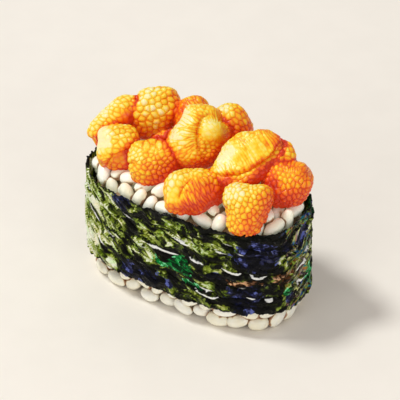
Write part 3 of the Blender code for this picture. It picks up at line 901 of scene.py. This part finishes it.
def hiddenness(place, normal):
    """How closed in a point of a surface is, from 0 in the open to 1 in a narrow gap."""
    turn = normal.to_track_quat("Z", "Y").to_matrix()
    start = place + normal * 0.7 * MM
    shut = 0.0
    for ray in fan_of_rays:
        hit = around.ray_cast(start, turn @ ray, 14 * MM)
        if hit[0] is not None:
            shut += 1 - hit[3] / (16 * MM)
    return shut / RAYS


def line_gap(places, line):
    """Distance of places from a line through a few corners, their side, and how far along."""
    best, side, walk = np.full(len(places), 1e9), np.zeros(len(places)), np.zeros(len(places))
    for index, (start, stop) in enumerate(zip(line, line[1:])):
        run = np.subtract(stop, start)
        share = np.clip((places - start) @ run / (run @ run), 0, 1)
        away = places - start - share[:, None] * run
        gap = np.linalg.norm(away, axis=1)
        closer = gap < best
        best[closer] = gap[closer]
        side[closer] = (run[0] * away[:, 1] - run[1] * away[:, 0])[closer] / np.linalg.norm(run)
        walk[closer] = (index + share[closer]) / (len(line) - 1)
    return best, side, walk


def spot(places, right, up, radius):
    """A soft round spot on the heap's open face, 1 in its middle."""
    return np.exp(-(((places[:, 0] - right) ** 2 + (places[:, 1] - up) ** 2) / radius ** 2) ** 1.5)


def spots(places, listed):
    """The strongest of some spots at each place."""
    strongest = np.zeros(len(places))
    for right, up, radius in listed:
        strongest = np.maximum(strongest, spot(places, right, up, radius))
    return strongest


def vertex_array(mesh, name):
    values = np.zeros(len(mesh.vertices) * 3, np.float32)
    mesh.vertices.foreach_get(name, values)
    return values.reshape(-1, 3).astype(float)


def set_points(mesh, points):
    mesh.vertices.foreach_set("co", points.astype(np.float32).ravel())
    mesh.update()


def stored(mesh, name):
    values = np.zeros(len(mesh.vertices), np.float32)
    mesh.attributes[name].data.foreach_get("value", values)
    return values.astype(float)


def turned(places, degrees):
    """Places seen along and across a direction in the heap's open face."""
    c, s = math.cos(math.radians(degrees)), math.sin(math.radians(degrees))
    along, across = places[:, 0] * c + places[:, 1] * s, places[:, 1] * c - places[:, 0] * s
    return np.stack([along, across, places[:, 2]], axis=1)


def urchin_finish():
    """Moist roe: cream and yellow through orange to red, by each place's own tone and its painted light and shade,
    with a faint painted glow.
    """
    made, shader, wire = finish(
        "urchin_flesh", 0.36, Subsurface_Weight=0.2, Subsurface_Radius=(1.0, 0.45, 0.12),
        Subsurface_Scale=0.9 * MM, Coat_Weight=0.14, Coat_Roughness=0.2, Specular_IOR_Level=0.28,
        Emission_Strength=0.10,
    )
    ripe_and_painted_light = wire.node("ShaderNodeAttribute", {"attribute_name": "ripeness"}, output=2)
    place = wire.node("ShaderNodeTexCoord", output=3)
    mottle = wire.node("ShaderNodeTexNoise", None, {"Vector": place, "Scale": 600.0, "Detail": 3.0})
    stops = [
        (0.00, colour(200, 42, 16)), (0.18, colour(226, 76, 14)), (0.36, colour(242, 120, 12)),
        (0.52, colour(248, 168, 16)), (0.66, colour(248, 206, 38)), (0.78, colour(248, 224, 92)),
        (0.92, colour(248, 236, 176)),
    ]
    value = ripe_and_painted_light + (mottle - 0.5) * 0.16
    plug(wire.node("ShaderNodeValToRGB", {"stops": stops}, {"Fac": value}), shader, "Base Color")
    # Painted glow: the whole flesh gives out a faint orange light, strongest where it is hidden in gaps.
    hidden = wire.node("ShaderNodeAttribute", {"attribute_name": "hidden"}, output=2)
    painted_glow = hidden.step(0.05, 0.70, 0.3, 1.0).blend((0, 0, 0, 1), (*colour(246, 100, 26), 1))
    plug(painted_glow, shader, "Emission Color")
    grit = wire.node("ShaderNodeTexNoise", None, {"Vector": place, "Scale": 2600.0, "Detail": 2.0})
    bump = wire.node(
        "ShaderNodeBump", None, {"Height": grit, "Strength": 0.10, "Distance": 0.1 * MM}
    )
    plug(bump, shader, "Normal")
    return made


def round_off(piece, neighbours):
    """Turns the faceted lobe into one even, rounded skin, and notes where it is hidden or touched."""
    remesh = piece.modifiers.new("remesh", "REMESH")
    remesh.mode = "VOXEL"
    remesh.voxel_size = LOBE_VOXEL
    mesh = applied(piece)
    bm = bmesh.new()
    bm.from_mesh(mesh)
    for _ in range(7):
        bmesh.ops.smooth_vert(
            bm, verts=bm.verts, factor=0.5, use_axis_x=True, use_axis_y=True, use_axis_z=True
        )
    bm.to_mesh(mesh)
    bm.free()
    points, normals = vertex_array(mesh, "co"), vertex_array(mesh, "normal")
    store(mesh, "hidden", [hiddenness(Vector(p), Vector(n)) for p, n in zip(points, normals)])
    store(mesh, "touched", [neighbours.find_nearest(Vector(p))[3] / MM for p in points])
    finer = piece.modifiers.new("finer", "SUBSURF")
    finer.levels = finer.render_levels = 2
    return applied(piece)


def pull(mesh, places, look):
    """Pulls parts of the whole lobe sideways, up or out, and returns where its points are then."""
    move = np.zeros_like(places)
    for right, up, radius, *by in look.grabs:
        move += spot(places, right, up, radius)[:, None] * np.array(by)
    set_points(mesh, vertex_array(mesh, "co") + move @ heap_face.T * MM)
    return places + move


def fold_and_puff(mesh, places, facing, look):
    """Models the lobe's folds, swellings and dents on its open side."""
    points, normals = vertex_array(mesh, "co"), vertex_array(mesh, "normal")
    hidden = stored(mesh, "hidden")
    lift = LOBE_SWELL + 1.1 * np.clip(hidden - 0.18, 0, 0.5)
    lift += 0.24 * patchy(points, 3.6 * MM, 5.0) + 0.10 * patchy(points, 1.9 * MM, 8.0)
    for right, up, radius, height in look.puffs:
        lift += facing * height * spot(places, right, up, radius)
    for line, width, depth, step in look.folds:
        gap, side, walk = line_gap(places[:, :2], line)
        depth = depth * np.clip(5 * np.minimum(walk, 1 - walk) + 0.15, 0, 1)
        near = np.exp(-(gap / (3.5 * width)) ** 2)
        lift += facing * (0.3 * depth * near - 1.3 * depth * np.exp(-(gap / width) ** 2))
        lift += facing * step * near * np.tanh(side / (0.5 * width))
    set_points(mesh, points + normals * lift[:, None] * MM)


def grow_granules(mesh, places, facing, look, seed):
    """Raises the granules and ribs, and works out the flesh's colour value at each place: its own tone with
    painted light and shade.
    """
    points, normals = vertex_array(mesh, "co"), vertex_array(mesh, "normal")
    warp = np.stack([patchy(points, 2.6 * MM, 30.0 + 9 * axis) for axis in range(3)], axis=1)
    warped = places + 0.25 * warp
    length, width, height = look.grain
    sizes = np.array((length, width, (length + width) / 2))
    _, near, edge, own = granules(turned(warped, look.turn) / sizes, seed, 2)
    dome = height * ((1 - np.exp(-edge / 0.30)) * (1.25 - 0.9 * near ** 2) + 0.3 * (own - 0.5))
    crevice = np.exp(-edge / 0.22)
    ribbed = facing * spots(places, look.ribbed)
    if look.ribbed:
        length, width, height = look.ribs
        if look.fan:
            away = warped[:, :2] - np.array(look.fan)
            reach = np.hypot(away[:, 0], away[:, 1])
            turn = np.arctan2(away[:, 1], away[:, 0])
            ribs = np.stack([np.cos(turn) * 5 / width, np.sin(turn) * 5 / width, reach / length], axis=1)
        else:
            ribs = turned(warped, look.rib_turn) / np.array((length, width, length))
        _, rib_near, rib_edge, rib_own = granules(ribs, seed + 50)
        rib_dome = height * (1.5 * (1 - np.exp(-rib_edge / 0.3)) + 0.4 * (rib_own - 0.5))
        dome += ribbed * (rib_dome - dome)
        crevice += ribbed * (1.5 * np.exp(-rib_edge / 0.24) - crevice)
        own = own + ribbed * (rib_own - own)
    smooth = facing * spots(places, look.smooth)
    dome *= 1 - 0.85 * smooth
    crevice *= 1 - 0.9 * smooth
    dome *= 0.5 + 0.5 * np.clip(1.6 * (normals @ heap_face)[:, 2] + 0.1, 0, 1)
    set_points(mesh, points + normals * dome[:, None] * MM)
    hidden = stored(mesh, "hidden")
    # Painted light: paler where a side faces the painted light's direction. Painted shade: redder where the
    # surface is hidden in a gap, and more so where it touches another lobe.
    painted_light_facing = normals @ np.array(PAINTED_LIGHT_FROM)
    ripe_and_painted_light = 0.53 + look.tone + 0.20 * painted_light_facing - 0.50 * np.clip(hidden - 0.16, 0, 1)
    ripe_and_painted_light -= 0.34 * np.clip((hidden - 0.40) / 0.25, 0, 1) ** 2
    touch = np.exp(-(stored(mesh, "touched") / 1.1) ** 2)
    ripe_and_painted_light -= 0.40 * touch * np.clip((hidden - 0.04) / 0.22, 0, 1)
    # Listed tints: partly the flesh's own tone, partly painted highlights and painted shade.
    for right, up, radius, amount in look.tints:
        ripe_and_painted_light += facing * amount * spot(places, right, up, radius)
    # Own tone per granule and random mottle, with painted shade in the grooves between granules and a painted
    # highlight on each granule's top.
    ripe_and_painted_light += 0.18 * (own - 0.5) - 0.26 * crevice + 0.16 * (0.6 - near) + 0.05 * patchy(points, 3 * MM, 9.0)
    store(mesh, "ripeness", np.clip(ripe_and_painted_light, 0.0, 1.0))


flesh = urchin_finish()
heap_face = np.array(
    Matrix.Rotation(math.radians(HEAP_YAW), 3, "Z") @ Matrix.Rotation(math.radians(HEAP_TILT), 3, "X")
)
for seed, (node, look) in enumerate(LOOKS.items()):
    lobe = new_piece(node.replace("lobe", "urchin"), merged_copy(node), flesh)
    skin = round_off(lobe, search_tree([other for other in LOOKS if other != node]))
    turned_points = vertex_array(skin, "co") @ heap_face
    middle = (turned_points.min(axis=0) + turned_points.max(axis=0)) / 2
    places = (turned_points - middle) / MM
    places = pull(skin, places, look)
    facing = np.clip(2.5 * (vertex_array(skin, "normal") @ heap_face)[:, 2] + 0.9, 0, 1)
    fold_and_puff(skin, places, facing, look)
    grow_granules(skin, places, facing, look, 100 + seed)
    skin.shade_smooth()
    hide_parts(node)

# ---- Table top, light and camera ---------------------------------------------------------
# A plain, pale, warm surface, a large soft light from the upper left and a faint warm fill, so
# that the shadow falls to the right. The camera looks down on the front corner.

FLOOR_SIDE = 4.0
AZIMUTH, ELEVATION = math.radians(32.85), math.radians(35.25)
CAMERA_DISTANCE = 700 * MM
SENSOR = 36.0
FOCAL_LENGTH = 255.9
AIM_UP = 7.70 * MM  # how far the picture's middle lies above and right of the aimed point
AIM_RIGHT = 0.55 * MM


def make_floor():
    bm = bmesh.new()
    bmesh.ops.create_grid(bm, x_segments=1, y_segments=1, size=FLOOR_SIDE / 2)
    made, shader, wire = finish("pale_paper", 0.9)
    place = wire.node("ShaderNodeTexCoord", output=3)
    mottle = wire.node("ShaderNodeTexNoise", None, {"Vector": place, "Scale": 90.0, "Detail": 4.0})
    tone = mottle.step(0.3, 0.7).blend(
        (*colour(244, 239, 230), 1), (*colour(246, 241, 232), 1)
    )
    plug(tone, shader, "Base Color")
    mesh = bpy.data.meshes.new("table_top")
    bm.to_mesh(mesh)
    bm.free()
    mesh.materials.append(made)
    floor = bpy.data.objects.new("table_top", mesh)
    bpy.context.scene.collection.objects.link(floor)
    return floor


def add_light(name, place, aim, size, energy, tint):
    lamp = bpy.data.lights.new(name, "AREA")
    lamp.shape = "DISK"
    lamp.size = size
    lamp.energy = energy
    lamp.color = tint
    made = bpy.data.objects.new(name, lamp)
    made.location = place
    made.rotation_euler = (Vector(aim) - Vector(place)).to_track_quat("-Z", "Y").to_euler()
    bpy.context.scene.collection.objects.link(made)


make_floor()
right = Vector((math.cos(AZIMUTH), math.sin(AZIMUTH), 0))
towards = Vector((math.sin(AZIMUTH), -math.cos(AZIMUTH), 0))
key_place = -right * 0.64 - towards * 0.10 + Vector((0, 0, 1.28))
add_light("key", key_place, (0, 0, 0.02), 0.28, 10.5, (0.99, 1.0, 0.98))
fill_place = -right * 0.50 + towards * 0.60 + Vector((0, 0, 0.36))
add_light("fill", fill_place, (0, 0, 0.02), 0.5, 1.1, (1.0, 0.98, 0.96))
side_place = right * 0.45 + towards * 0.70 + Vector((0, 0, 0.20))
add_light("side", side_place, (0, 0, 0.02), 0.5, 1.4, (1.0, 0.98, 0.96))

world = bpy.data.worlds.new("soft_room")
world.use_nodes = True
world.node_tree.nodes["Background"].inputs["Color"].default_value = (1.0, 0.945, 0.92, 1)
world.node_tree.nodes["Background"].inputs["Strength"].default_value = 0.47
bpy.context.scene.world = world
bpy.context.scene.view_settings.view_transform = "Standard"

sight = towards * math.cos(ELEVATION) + Vector((0, 0, math.sin(ELEVATION)))
up = sight.cross(right)
aim = Vector((0, 0, 15 * MM)) + up * AIM_UP + right * AIM_RIGHT
lens = bpy.data.cameras.new("camera")
lens.sensor_width = SENSOR
lens.lens = FOCAL_LENGTH
camera = bpy.data.objects.new("camera", lens)
camera.location = aim + sight * CAMERA_DISTANCE
camera.rotation_euler = sight.to_track_quat("Z", "Y").to_euler()
bpy.context.scene.collection.objects.link(camera)
bpy.context.scene.camera = camera
